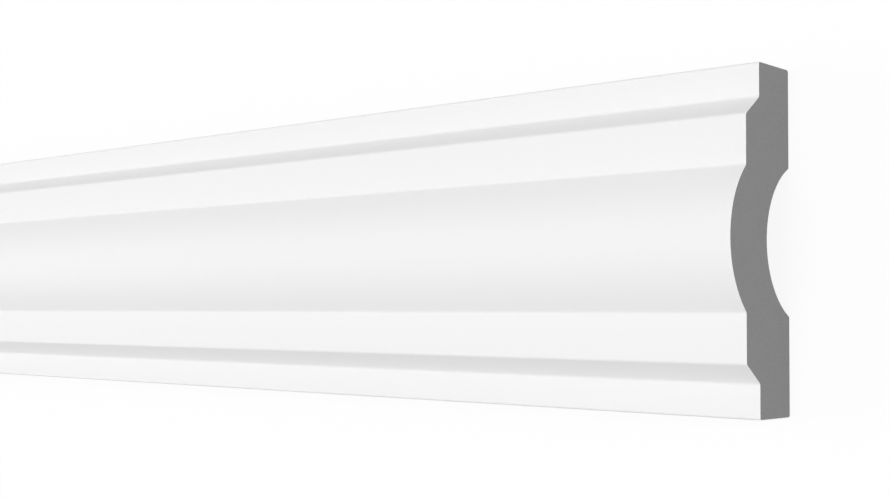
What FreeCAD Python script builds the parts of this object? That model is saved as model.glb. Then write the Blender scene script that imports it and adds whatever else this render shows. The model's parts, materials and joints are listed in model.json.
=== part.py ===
"""Panel moulding: one stock length of hard polymer wall trim, lying on its back with its face up.

Frame, in millimetres: X runs along the length, Y across the face and Z out of the wall. The origin is at
mid-length, on the centre line of the back, so the two flats that are glued to the wall lie on Z = 0.

The section is the same from end to end and mirrored about Y = 0. From each edge inwards the face has a plain
border, a slanted step, a raised flat and then the middle bow, which both sides share. A hollow under the bow
keeps the wall about as thick there as at the borders. Every long edge is slightly rounded, and both ends are
cut square.
"""

import FreeCAD
import Part
import Sketcher

import os

NODE = "panel_moulding"

# Driving dimensions in millimetres, with what each one measures.
SIZES = {
    "length": (2000, "stock length, square cut at both ends"),
    "face_width": (80, "across the face, edge to edge"),
    "border_width": (8, "plain border along each edge"),
    "border_thickness": (14, "back to border"),
    "step_run": (4.4, "slanted step, measured across the face"),
    "step_rise": (6, "slanted step, measured out of the wall"),
    "bow_width": (32.5, "chord of the middle bow"),
    "bow_rise": (7, "crown of the bow above the raised flats"),
    "hollow_width": (34, "mouth of the hollow in the back"),
    "hollow_depth": (10.5, "crown of the hollow above the back"),
    "corner_radius": (1, "rounding of the corners inside the face"),
    "arris_radius": (0.6, "rounding of the outer edges and of the hollow's mouth"),
}

# How a sketch numbers the two ends of a line or arc, and its own axes.
START_ID, END_ID = 1, 2
ACROSS_AXIS_ID, CENTRE_LINE_ID = -1, -2

CUBIC_MM_PER_LITRE = 1e6


def make_sizes(doc):
    """The spreadsheet with one named cell for each driving dimension."""
    sheet = doc.addObject("Spreadsheet::Sheet", "Sizes")
    for row, (name, (size, meaning)) in enumerate(SIZES.items(), start=1):
        sheet.set(f"A{row}", name)
        sheet.set(f"B{row}", str(size))
        sheet.set(f"C{row}", meaning)
        sheet.setAlias(f"B{row}", name)
    doc.recompute()
    return sheet


def draw_outline(sketch, sheet):
    """Draws the closed section at its size. Returns the numbers of its lines and arcs, named."""
    half_face = sheet.face_width / 2
    border_edge = half_face - sheet.border_width
    flat_edge = border_edge - sheet.step_run
    flat_height = sheet.border_thickness + sheet.step_rise
    bow_crown = FreeCAD.Vector(0, flat_height + sheet.bow_rise)
    hollow_crown = FreeCAD.Vector(0, sheet.hollow_depth)

    right = [
        FreeCAD.Vector(sheet.hollow_width / 2, 0),
        FreeCAD.Vector(half_face, 0),
        FreeCAD.Vector(half_face, sheet.border_thickness),
        FreeCAD.Vector(border_edge, sheet.border_thickness),
        FreeCAD.Vector(flat_edge, flat_height),
        FreeCAD.Vector(sheet.bow_width / 2, flat_height),
    ]
    left = [FreeCAD.Vector(-point.x, point.y) for point in reversed(right)]

    def add_lines(corners):
        return [
            sketch.addGeometry(Part.LineSegment(a, b)) for a, b in zip(corners, corners[1:])
        ]

    right_lines = add_lines(right)
    bow = sketch.addGeometry(Part.Arc(right[-1], bow_crown, left[0]))
    left_lines = add_lines(left)
    hollow = sketch.addGeometry(Part.Arc(right[0], hollow_crown, left[-1]))
    return {
        "right": dict(zip(("back", "edge", "border", "step", "flat"), right_lines)),
        "left": dict(zip(("flat", "step", "border", "edge", "back"), left_lines)),
        "bow": bow,
        "hollow": hollow,
        "bow_crown": sketch.addGeometry(Part.Point(bow_crown), True),
        "hollow_crown": sketch.addGeometry(Part.Point(hollow_crown), True),
    }


def constrain_outline(sketch, outline):
    """Joins the outline, mirrors it about its centre line and ties every dimension to its cell."""
    right, left = outline["right"], outline["left"]
    bow, hollow = outline["bow"], outline["hollow"]

    def add(kind, *references):
        return sketch.addConstraint(Sketcher.Constraint(kind, *references))

    def dimension(kind, name, *references):
        number = add(kind, *references, SIZES[name][0])
        sketch.renameConstraint(number, name)
        sketch.setExpression(f"Constraints.{name}", f"Sizes.{name}")

    for side in (right, left):
        lines = list(side.values())
        for line, following in zip(lines, lines[1:]):
            add("Coincident", line, END_ID, following, START_ID)
    add("Coincident", right["flat"], END_ID, bow, START_ID)
    add("Coincident", bow, END_ID, left["flat"], START_ID)
    add("Coincident", left["back"], END_ID, hollow, END_ID)
    add("Coincident", hollow, START_ID, right["back"], START_ID)

    for name in ("back", "border", "flat"):
        add("Horizontal", right[name])
    add("Vertical", right["edge"])
    add("PointOnObject", right["back"], START_ID, ACROSS_AXIS_ID)
    add("Symmetric", right["back"], START_ID, left["back"], END_ID, CENTRE_LINE_ID)
    for name in right:
        add("Symmetric", right[name], END_ID, left[name], START_ID, CENTRE_LINE_ID)
    for arc, crown in ((bow, outline["bow_crown"]), (hollow, outline["hollow_crown"])):
        add("PointOnObject", crown, START_ID, arc)
        add("PointOnObject", crown, START_ID, CENTRE_LINE_ID)

    dimension("DistanceX", "face_width", left["edge"], END_ID, right["edge"], START_ID)
    dimension("DistanceX", "border_width", right["border"], END_ID, right["border"], START_ID)
    dimension("DistanceY", "border_thickness", right["edge"], START_ID, right["edge"], END_ID)
    dimension("DistanceX", "step_run", right["step"], END_ID, right["step"], START_ID)
    dimension("DistanceY", "step_rise", right["step"], START_ID, right["step"], END_ID)
    dimension("DistanceX", "bow_width", bow, END_ID, bow, START_ID)
    dimension("DistanceY", "bow_rise", bow, START_ID, outline["bow_crown"], START_ID)
    dimension("DistanceX", "hollow_width", hollow, END_ID, hollow, START_ID)
    dimension("DistanceY", "hollow_depth", hollow, START_ID, outline["hollow_crown"], START_ID)


def make_section(body, sheet):
    """The section's sketch, on the plane across the moulding at mid-length."""
    across = next(plane for plane in body.Origin.OriginFeatures if plane.Role == "YZ_Plane")
    sketch = body.newObject("Sketcher::SketchObject", "Section")
    sketch.AttachmentSupport = [(across, "")]
    sketch.MapMode = "FlatFace"
    constrain_outline(sketch, draw_outline(sketch, sheet))
    return sketch


def long_edges(shape, chosen):
    """Names of the edges that cross mid-length, as every corner of the section does, and are chosen."""
    return [
        f"Edge{number}"
        for number, edge in enumerate(shape.Edges, start=1)
        if edge.firstVertex().X * edge.lastVertex().X < 0 and chosen(edge.firstVertex())
    ]


def ease(body, base, name, edges, radius):
    """Rounds the named edges of base to a driving radius, as the body's next feature."""
    fillet = body.newObject("PartDesign::Fillet", name)
    fillet.Base = (base, edges)
    fillet.setExpression("Radius", f"Sizes.{radius}")
    body.Document.recompute()
    return fillet


def make_moulding(doc, sheet):
    """The whole moulding: the section run out to both ends, with its long edges eased."""
    body = doc.addObject("PartDesign::Body", NODE)
    section = make_section(body, sheet)
    doc.recompute()

    run = body.newObject("PartDesign::Pad", "Run")
    run.Profile = section
    run.SideType = "Symmetric"
    run.setExpression("Length", "Sizes.length")
    doc.recompute()

    # The corners inside the face lie above mid-thickness, between the middles of the two borders.
    mid_thickness = sheet.border_thickness / 2
    mid_border = (sheet.face_width - sheet.border_width) / 2

    def in_face(vertex):
        return vertex.Z > mid_thickness and abs(vertex.Y) < mid_border

    def round_outside(vertex):
        return not in_face(vertex)

    corners = ease(body, run, "FaceCorners", long_edges(run.Shape, in_face), "corner_radius")
    body.Tip = ease(body, corners, "Arrises", long_edges(corners.Shape, round_outside), "arris_radius")
    doc.recompute()
    return body


def check(doc, body):
    """Stops if any object failed to compute or the moulding isn't one sound solid."""
    for item in doc.Objects:
        if "Invalid" in item.State or "Error" in item.State:
            raise RuntimeError(f"{item.Label} failed: {item.State}")
    if not doc.getObject("Section").FullyConstrained:
        raise RuntimeError("the section isn't fully constrained")
    shape = body.Shape
    if shape.isNull() or not shape.isValid() or len(shape.Solids) != 1:
        raise RuntimeError(f"{body.Label} isn't one valid solid")


def main():
    doc = FreeCAD.newDocument("PanelMoulding")
    sheet = make_sizes(doc)
    body = make_moulding(doc, sheet)
    check(doc, body)
    os.makedirs("parts", exist_ok=True)
    body.Shape.exportStep(os.path.join("parts", f"{body.Label}.step"))
    box = body.Shape.BoundBox
    print(f"{body.Label}: {box.XLength:.1f} x {box.YLength:.1f} x {box.ZLength:.1f} mm, "
          f"{body.Shape.Volume / CUBIC_MM_PER_LITRE:.3f} litres, {len(body.Shape.Faces)} faces")


main()
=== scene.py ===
"""The look of a panel moulding: one stock length, primed white on its face and grey where it is cut.

Metres, in the part's own frame: X along the length, Y across the face, Z out of the wall. The moulding lies
on its back on a plain white floor, and the camera looks down on the face near the +X end.
"""

import json
import math

import bpy
from mathutils import Matrix, Vector


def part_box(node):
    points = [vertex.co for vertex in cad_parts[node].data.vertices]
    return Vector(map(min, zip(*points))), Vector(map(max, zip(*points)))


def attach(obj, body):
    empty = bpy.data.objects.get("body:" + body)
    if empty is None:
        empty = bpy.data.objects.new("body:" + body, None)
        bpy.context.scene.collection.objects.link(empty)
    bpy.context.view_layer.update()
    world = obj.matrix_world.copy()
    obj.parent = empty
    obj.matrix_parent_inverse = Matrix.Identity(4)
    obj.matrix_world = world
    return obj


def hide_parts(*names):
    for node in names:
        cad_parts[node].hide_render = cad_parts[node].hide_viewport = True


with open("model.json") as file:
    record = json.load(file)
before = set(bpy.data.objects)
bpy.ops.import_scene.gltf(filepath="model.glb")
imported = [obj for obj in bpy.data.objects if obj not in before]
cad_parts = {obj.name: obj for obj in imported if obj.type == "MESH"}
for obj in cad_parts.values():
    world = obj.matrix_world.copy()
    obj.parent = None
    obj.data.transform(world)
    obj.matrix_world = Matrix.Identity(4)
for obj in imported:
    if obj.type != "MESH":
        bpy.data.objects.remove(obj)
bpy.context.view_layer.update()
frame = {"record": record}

MM = 0.001
SUBPART = frame["record"]["subparts"][0]
NODE = SUBPART["node"]

# The section. Its width, and the length, come from the frame.
BORDER_WIDTH = 8.0 * MM
BORDER_THICKNESS = 14.0 * MM
STEP_RUN = 4.4 * MM
STEP_RISE = 6.0 * MM
BOW_WIDTH = 32.5 * MM
BOW_RISE = 7.0 * MM
HOLLOW_WIDTH = 34.0 * MM
HOLLOW_DEPTH = 10.5 * MM
CORNER_RADIUS = 1.0 * MM
ARRIS_RADIUS = 0.6 * MM
HALF_LENGTH, HALF_FACE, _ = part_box(NODE)[1]

# How finely the shape is meshed, and the small bevel that a saw leaves round each end.
BOW_STEP = math.radians(2.5)
ARRIS_STEP = math.radians(11.0)
SPANS_ALONG = 40
SAW_BEVEL = 0.12 * MM

# The order of the mesh's materials.
PRIMER, CORE, BACK = range(3)

# The texture map that the materials are baked through. The face and the back are strips along it, and
# the two ends lie enlarged beside them. Each patch is given by where it starts and ends across the map, and
# then along it.
MAP_NAME = "OFBake"
FACE_PATCH = (0.01, 0.40, 0.01, 0.99)
BACK_PATCH = (0.42, 0.62, 0.01, 0.99)
END_PATCHES = ((0.65, 0.99, 0.01, 0.49), (0.65, 0.99, 0.51, 0.99))

# How much noise is drawn out along the axes: not at all, or into lines along the length or across a sawn end.
EVEN = (1.0, 1.0, 1.0)
ALONG = (0.004, 1.0, 1.0)
ACROSS = (1.0, 0.02, 1.0)

# The middle of a noise's range, over which colours change.
COLOUR_START, COLOUR_END = 0.3, 0.7

# The camera, from the middle of the +X end's back edge, and its turns about its own axes.
CAMERA_FROM_END = Vector((143.95, -18.38, 281.85)) * MM
CAMERA_TURN = math.radians(41.549)
CAMERA_TIP = math.radians(3.0)
CAMERA_ROLL = math.radians(0.463)
CAMERA_NEAREST = 10 * MM
IMAGE_WIDTH = 889
FOCAL_PIXELS = 1335.0
SENSOR_WIDTH = 36.0

# Light: an overhead lamp, a low lamp off each end and an even white surround. Together they light a level
# face at about 1, so a colour renders about as it is written.
OVERHEAD_SHARE = 0.3
OVERHEAD_LEAN = math.radians(3.0)
END_LAMP_SHARE = 0.11
END_LAMP_HEIGHT = math.radians(15.0)
SURROUND_SHARE = 0.45
LAMP_SPREAD = math.radians(30.0)

FLOOR_HALF = 20.0
FLOOR_DROP = 0.2 * MM
FLOOR_COLOUR = (0.3, 0.3, 0.3, 1.0)
FLOOR_SHADOW_SHARE = 0.1
WHITE = (1.0, 1.0, 1.0, 1.0)


def arc(centre, radius, start, end, facing, step):
    """Points along an arc of the section, each with the outward normal of the solid.

    Angles turn from +Y towards +Z. facing is 1 where the solid is inside the arc and -1 where the air is.
    """
    count = max(2, math.ceil(abs(end - start) / step))
    points = []
    for number in range(count + 1):
        angle = start + (end - start) * number / count
        out = Vector((math.cos(angle), math.sin(angle)))
        points.append((centre + out * radius, out * facing))
    return points


def rounded(centre, radius, start, end):
    """A small rounding of the solid."""
    return arc(centre, radius, start, end, 1, ARRIS_STEP)


def coved(centre, radius, start, end):
    """A small cove in the solid, between normals that point at the angles start and end."""
    return arc(centre, radius, start + math.pi, end + math.pi, -1, ARRIS_STEP)


def circle_on_chord(chord, rise, base):
    """Centre and radius of the circle that rises by rise over a chord at height base, about Y = 0."""
    radius = (chord ** 2 / 4 + rise ** 2) / (2 * rise)
    return Vector((0.0, base + rise - radius)), radius


def beside_circle(centre, radius, base, rounding):
    """Centre of a rounding that rests on height base and touches the circle from outside, on the +Y side."""
    height = base + rounding
    reach = radius + rounding
    return Vector((math.sqrt(reach ** 2 - (height - centre.y) ** 2), height))


def direction(start, end):
    """Angle of the line from start to end, turning from +Y towards +Z."""
    return math.atan2(end.y - start.y, end.x - start.x)


def half_face():
    """The +Y half of the primed face, from the crown of the bow to the arris at the back."""
    up, across, down = math.pi / 2, 0.0, -math.pi / 2
    flat_height = BORDER_THICKNESS + STEP_RISE
    border_edge = HALF_FACE - BORDER_WIDTH
    slope = math.atan2(STEP_RISE, STEP_RUN)
    setback = CORNER_RADIUS * math.tan(slope / 2)

    bow, bow_radius = circle_on_chord(BOW_WIDTH, BOW_RISE, flat_height)
    bow_foot = beside_circle(bow, bow_radius, flat_height, CORNER_RADIUS)
    bow_end = direction(bow, bow_foot)
    step_top = Vector((border_edge - STEP_RUN - setback, flat_height - CORNER_RADIUS))
    step_foot = Vector((border_edge + setback, BORDER_THICKNESS + CORNER_RADIUS))
    face_arris = Vector((HALF_FACE - ARRIS_RADIUS, BORDER_THICKNESS - ARRIS_RADIUS))
    back_arris = Vector((HALF_FACE - ARRIS_RADIUS, ARRIS_RADIUS))
    return [
        *arc(bow, bow_radius, up, bow_end, 1, BOW_STEP)[:-1],
        *coved(bow_foot, CORNER_RADIUS, bow_end, up),
        *rounded(step_top, CORNER_RADIUS, up, up - slope),
        *coved(step_foot, CORNER_RADIUS, up - slope, up),
        *rounded(face_arris, ARRIS_RADIUS, up, across),
        *rounded(back_arris, ARRIS_RADIUS, across, down),
    ]


def half_back():
    """The +Y half of the bare back, from the mouth of the hollow to its crown."""
    hollow, hollow_radius = circle_on_chord(HOLLOW_WIDTH, HOLLOW_DEPTH, 0.0)
    mouth = beside_circle(hollow, hollow_radius, 0.0, ARRIS_RADIUS)
    hollow_start = direction(hollow, mouth)
    return [
        *rounded(mouth, ARRIS_RADIUS, -math.pi / 2, hollow_start - math.pi)[:-1],
        *arc(hollow, hollow_radius, hollow_start, math.pi / 2, -1, BOW_STEP),
    ]


def mirrored(points):
    """The same stretch on the -Y side, run the other way."""

    def across(vector):
        return Vector((-vector.x, vector.y))

    return [(across(point), across(normal)) for point, normal in reversed(points)]


def section():
    """The closed section: the face from -Y to +Y, then the back from +Y to -Y, and the face's point count."""
    right, under = half_face(), half_back()
    face = mirrored(right)[:-1] + right
    back = under + mirrored(under)[1:]
    return face + back, len(face)


def swept_rings(points):
    """The section's points at each station, with the saw's bevel at both ends, and the station count."""
    inner = HALF_LENGTH - SAW_BEVEL
    along = [-inner + 2 * inner * number / SPANS_ALONG for number in range(SPANS_ALONG + 1)]
    stations = [(-HALF_LENGTH, SAW_BEVEL), *((x, 0.0) for x in along), (HALF_LENGTH, SAW_BEVEL)]
    vertices = []
    for x, inset in stations:
        for point, normal in points:
            place = point - normal * inset
            vertices.append((x, place.x, place.y))
    return vertices, len(stations)


def on_map(patch, across, along):
    """A place on the texture map, from its shares of the way across and along a patch."""
    left, right, low, high = patch
    return left + (right - left) * across, low + (high - low) * along


def shares(points):
    """How far along their run the points lie, from 0 to 1."""
    places = [0.0]
    for (start, _), (end, _) in zip(points, points[1:]):
        places.append(places[-1] + (end - start).length)
    return [place / places[-1] for place in places]


def long_faces(points, face_count, ring_count):
    """The faces from ring to ring: their corners, materials, corner normals and places on the texture map."""
    size = len(points)
    face_run = [*range(face_count)]
    # The back runs on from the face's last point and closes on its first.
    back_run = [*range(face_count - 1, size), 0]
    faces, materials, normals, places = [], [], [], []
    for ring in range(ring_count - 1):
        # The first and last spans are the bevels, which lean out along the length.
        lean = {0: -1.0, ring_count - 2: 1.0}.get(ring, 0.0)
        here, there = ring * size, (ring + 1) * size
        # The map runs against the length, because otherwise the faces would be mirrored on it.
        before, after = (1.0 - number / (ring_count - 1) for number in (ring, ring + 1))
        for material, patch, run in ((PRIMER, FACE_PATCH, face_run), (BACK, BACK_PATCH, back_run)):
            across = shares([points[number] for number in run])
            for left, right, start, end in zip(run, run[1:], across, across[1:]):
                faces.append((here + left, there + left, there + right, here + right))
                materials.append(material)
                for number in (left, left, right, right):
                    out = points[number][1]
                    normals.append(Vector((lean, out.x, out.y)).normalized())
                for corner in ((start, before), (start, after), (end, after), (end, before)):
                    places.append(on_map(patch, *corner))
    return faces, materials, normals, places


def end_faces(points, ring_count):
    """The two sawn ends: their corners, materials, corner normals and places on the texture map."""
    size = len(points)
    height = max(point.y for point, _ in points)
    first = tuple(range(size))
    last = tuple(range((ring_count - 1) * size, ring_count * size))
    faces = [first, last[::-1]]
    normals, places = [], []
    for face, facing, patch in zip(faces, (-1.0, 1.0), END_PATCHES):
        for corner in face:
            point = points[corner % size][0]
            normals.append(Vector((facing, 0.0, 0.0)))
            places.append(on_map(patch, point.y / height, 0.5 - facing * point.x / (2 * HALF_FACE)))
    return faces, [CORE, CORE], normals, places


def build_moulding():
    """The whole moulding as one closed mesh, with the section's own normals."""
    points, face_count = section()
    vertices, ring_count = swept_rings(points)
    sides = long_faces(points, face_count, ring_count)
    ends = end_faces(points, ring_count)
    faces, materials, normals, places = (side + end for side, end in zip(sides, ends))

    mesh = bpy.data.meshes.new("primed_moulding")
    mesh.from_pydata(vertices, [], faces)
    for material in (make_primer(), make_core(), make_back()):
        mesh.materials.append(material)
    mesh.polygons.foreach_set("material_index", materials)
    mesh.polygons.foreach_set("use_smooth", [True] * len(faces))
    mesh.normals_split_custom_set(normals)
    texture_map = mesh.uv_layers.new(name=MAP_NAME)
    texture_map.data.foreach_set("uv", [number for place in places for number in place])
    mesh.update()
    moulding = bpy.data.objects.new("primed_moulding", mesh)
    bpy.context.scene.collection.objects.link(moulding)
    return moulding


class Nodes:
    """A material's node tree, with short ways to add, join and set its nodes."""

    def __init__(self, name):
        self.material = bpy.data.materials.new(name)
        self.material.use_nodes = True
        self.tree = self.material.node_tree
        self.shader = self.tree.nodes["Principled BSDF"]
        self.output = self.tree.nodes["Material Output"]
        self.place = self.add("ShaderNodeTexCoord").outputs["Object"]

    def add(self, kind, **settings):
        """A new node of that kind."""
        node = self.tree.nodes.new(kind)
        for name, value in settings.items():
            setattr(node, name, value)
        return node

    def join(self, source, target):
        """Links an output to an input."""
        self.tree.links.new(source, target)

    def drive(self, socket, source):
        """Links an output to one of the shader's own sockets."""
        self.join(source, self.shader.inputs[socket])

    def fix(self, socket, value):
        """Sets one of the shader's own sockets."""
        self.shader.inputs[socket].default_value = value

    def noise(self, per_metre, detail, stretch=EVEN):
        """Noise with that many features to the metre, stretched along the axes as asked."""
        mapping = self.add("ShaderNodeMapping")
        mapping.inputs["Scale"].default_value = stretch
        self.join(self.place, mapping.inputs["Vector"])
        noise = self.add("ShaderNodeTexNoise")
        noise.inputs["Scale"].default_value = per_metre
        noise.inputs["Detail"].default_value = detail
        self.join(mapping.outputs["Vector"], noise.inputs["Vector"])
        return noise.outputs["Fac"]

    def cells(self, per_metre):
        """Distance from the middles of closed cells, that many to the metre, in parts of a cell."""
        cells = self.add("ShaderNodeTexVoronoi")
        cells.inputs["Scale"].default_value = per_metre
        self.join(self.place, cells.inputs["Vector"])
        return cells.outputs["Distance"]

    def between(self, factor, low, high):
        """A value that runs from low to high as factor goes from 0 to 1."""
        spread = self.add("ShaderNodeMapRange")
        spread.inputs["To Min"].default_value = low
        spread.inputs["To Max"].default_value = high
        self.join(factor, spread.inputs["Value"])
        return spread.outputs["Result"]

    def colours(self, factor, low, high):
        """A colour that runs from low to high over the middle of factor's range."""
        ramp = self.add("ShaderNodeValToRGB")
        for stop, position, colour in zip(ramp.color_ramp.elements, (COLOUR_START, COLOUR_END), (low, high)):
            stop.position = position
            stop.color = (*colour, 1.0)
        self.join(factor, ramp.inputs["Fac"])
        return ramp.outputs["Color"]

    def shaded(self, colour, factor):
        """The colour times a factor."""
        product = self.add("ShaderNodeVectorMath", operation="SCALE")
        self.join(colour, product.inputs[0])
        self.join(factor, product.inputs["Scale"])
        return product.outputs["Vector"]

    def bump(self, height, depth, under=None):
        """Normals for a relief of that depth, over another relief if one is given."""
        bump = self.add("ShaderNodeBump")
        bump.inputs["Distance"].default_value = depth
        self.join(height, bump.inputs["Height"])
        if under is not None:
            self.join(under, bump.inputs["Normal"])
        return bump.outputs["Normal"]


def grey(level):
    """A neutral colour."""
    return (level, level, level)


def make_primer():
    """Matt white factory primer: a sprayed skin with a fine tooth, over faint lines along the length."""
    nodes = Nodes("white_primer")
    tint = nodes.noise(per_metre=9.0, detail=3.0, stretch=(0.25, 1.0, 1.0))
    skin = nodes.noise(per_metre=900.0, detail=2.0)
    tooth = nodes.noise(per_metre=6000.0, detail=1.0)
    drawn = nodes.noise(per_metre=420.0, detail=2.0, stretch=ALONG)
    relief = nodes.bump(drawn, depth=0.05 * MM)
    relief = nodes.bump(skin, depth=0.05 * MM, under=relief)
    relief = nodes.bump(tooth, depth=0.008 * MM, under=relief)
    nodes.drive("Base Color", nodes.colours(tint, low=(0.912, 0.913, 0.910), high=(0.926, 0.926, 0.924)))
    nodes.drive("Roughness", nodes.between(skin, low=0.50, high=0.62))
    nodes.drive("Normal", relief)
    nodes.fix("Specular IOR Level", 0.35)
    return nodes.material


def make_core():
    """The grey core where it is sawn: fine closed cells, uneven in density, with faint marks of the saw."""
    nodes = Nodes("grey_core")
    cells = nodes.cells(per_metre=5000.0)
    density = nodes.noise(per_metre=160.0, detail=2.0)
    sawn = nodes.noise(per_metre=1200.0, detail=1.0, stretch=ACROSS)
    shades = nodes.colours(cells, low=grey(0.262), high=grey(0.302))
    relief = nodes.bump(sawn, depth=0.03 * MM)
    relief = nodes.bump(cells, depth=0.02 * MM, under=relief)
    nodes.drive("Base Color", nodes.shaded(shades, nodes.between(density, low=0.97, high=1.03)))
    nodes.drive("Normal", relief)
    nodes.fix("Roughness", 0.85)
    nodes.fix("Specular IOR Level", 0.2)
    return nodes.material


def make_back():
    """The same grey on the bare back: the smooth skin that the die leaves, with lines along the length."""
    nodes = Nodes("grey_back")
    tint = nodes.noise(per_metre=30.0, detail=3.0, stretch=(0.15, 1.0, 1.0))
    lines = nodes.noise(per_metre=900.0, detail=3.0, stretch=ALONG)
    shades = nodes.colours(tint, low=grey(0.275), high=grey(0.299))
    nodes.drive("Base Color", nodes.shaded(shades, nodes.between(lines, low=0.86, high=1.14)))
    nodes.drive("Roughness", nodes.between(lines, low=0.50, high=0.80))
    nodes.drive("Normal", nodes.bump(lines, depth=0.1 * MM))
    nodes.fix("Specular IOR Level", 0.3)
    return nodes.material


def background_rays(tree):
    """1 on the rays that show the background: the camera's own, and those that gloss or glass sends on."""
    path = tree.nodes.new("ShaderNodeLightPath")
    shown = path.outputs["Is Camera Ray"]
    for kind in ("Is Glossy Ray", "Is Transmission Ray"):
        either = tree.nodes.new("ShaderNodeMath")
        either.operation = "MAXIMUM"
        tree.links.new(shown, either.inputs[0])
        tree.links.new(path.outputs[kind], either.inputs[1])
        shown = either.outputs["Value"]
    return shown


def make_floor_paint():
    """White to the camera, apart from a faint share of the shadows, and grey in the light it sends on."""
    nodes = Nodes("floor_white")
    nodes.tree.nodes.remove(nodes.shader)
    paint = nodes.add("ShaderNodeBsdfDiffuse")
    paint.inputs["Color"].default_value = FLOOR_COLOUR
    white = nodes.add("ShaderNodeBsdfDiffuse")
    white.inputs["Color"].default_value = WHITE
    glow = nodes.add("ShaderNodeEmission")
    seen = nodes.add("ShaderNodeMixShader")
    seen.inputs["Fac"].default_value = FLOOR_SHADOW_SHARE
    nodes.join(glow.outputs["Emission"], seen.inputs[1])
    nodes.join(white.outputs["BSDF"], seen.inputs[2])
    shown = nodes.add("ShaderNodeMixShader")
    nodes.join(background_rays(nodes.tree), shown.inputs["Fac"])
    nodes.join(paint.outputs["BSDF"], shown.inputs[1])
    nodes.join(seen.outputs["Shader"], shown.inputs[2])
    nodes.join(shown.outputs["Shader"], nodes.output.inputs["Surface"])
    return nodes.material


def make_floor():
    """A level floor, just under the moulding."""
    ways = ((-1, -1), (1, -1), (1, 1), (-1, 1))
    mesh = bpy.data.meshes.new("floor")
    mesh.from_pydata([(x * FLOOR_HALF, y * FLOOR_HALF, -FLOOR_DROP) for x, y in ways], [], [(0, 1, 2, 3)])
    mesh.materials.append(make_floor_paint())
    floor = bpy.data.objects.new("floor", mesh)
    bpy.context.scene.collection.objects.link(floor)


def make_lamp(name, share, towards):
    """A soft distant lamp in the direction towards, which adds share to the light on a level face."""
    lamp = bpy.data.lights.new(name, "SUN")
    lamp.energy = share * math.pi / towards.z
    lamp.angle = LAMP_SPREAD
    holder = bpy.data.objects.new(name, lamp)
    holder.rotation_mode = "QUATERNION"
    holder.rotation_quaternion = towards.to_track_quat("Z", "Y")
    bpy.context.scene.collection.objects.link(holder)
    return holder


def make_lamps():
    """The overhead lamp, and a low one off each end that leaves no highlight."""
    make_lamp("overhead", OVERHEAD_SHARE, Vector((0.0, math.sin(OVERHEAD_LEAN), math.cos(OVERHEAD_LEAN))))
    for name, side in (("end_lamp_plus_x", 1.0), ("end_lamp_minus_x", -1.0)):
        low = Vector((side * math.cos(END_LAMP_HEIGHT), 0.0, math.sin(END_LAMP_HEIGHT)))
        make_lamp(name, END_LAMP_SHARE, low).visible_glossy = False


def make_surround():
    """A surround that is white to the camera and dimmer as light."""
    world = bpy.data.worlds.new("surround")
    world.use_nodes = True
    bpy.context.scene.world = world
    tree = world.node_tree
    strength = tree.nodes.new("ShaderNodeMapRange")
    strength.inputs["To Min"].default_value = SURROUND_SHARE
    strength.inputs["To Max"].default_value = 1.0
    background = tree.nodes["Background"]
    background.inputs["Color"].default_value = WHITE
    tree.links.new(background_rays(tree), strength.inputs["Value"])
    tree.links.new(strength.outputs["Result"], background.inputs["Strength"])


def make_camera():
    """The camera over the +X end, looking back along the face."""
    camera = bpy.data.cameras.new("camera")
    camera.sensor_width = SENSOR_WIDTH
    camera.lens = SENSOR_WIDTH * FOCAL_PIXELS / IMAGE_WIDTH
    camera.clip_start = CAMERA_NEAREST
    holder = bpy.data.objects.new("camera", camera)
    bpy.context.scene.collection.objects.link(holder)
    place = Matrix.Translation(Vector((HALF_LENGTH, 0.0, 0.0)) + CAMERA_FROM_END)
    turn = Matrix.Rotation(CAMERA_TURN, 4, "Y")
    tip = Matrix.Rotation(CAMERA_TIP, 4, "X")
    roll = Matrix.Rotation(CAMERA_ROLL, 4, "Z")
    holder.matrix_world = place @ turn @ tip @ roll
    bpy.context.scene.camera = holder


moulding = build_moulding()
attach(moulding, "root")
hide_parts(NODE)
make_floor()
make_lamps()
make_surround()
make_camera()
bpy.context.scene.view_settings.view_transform = "Standard"
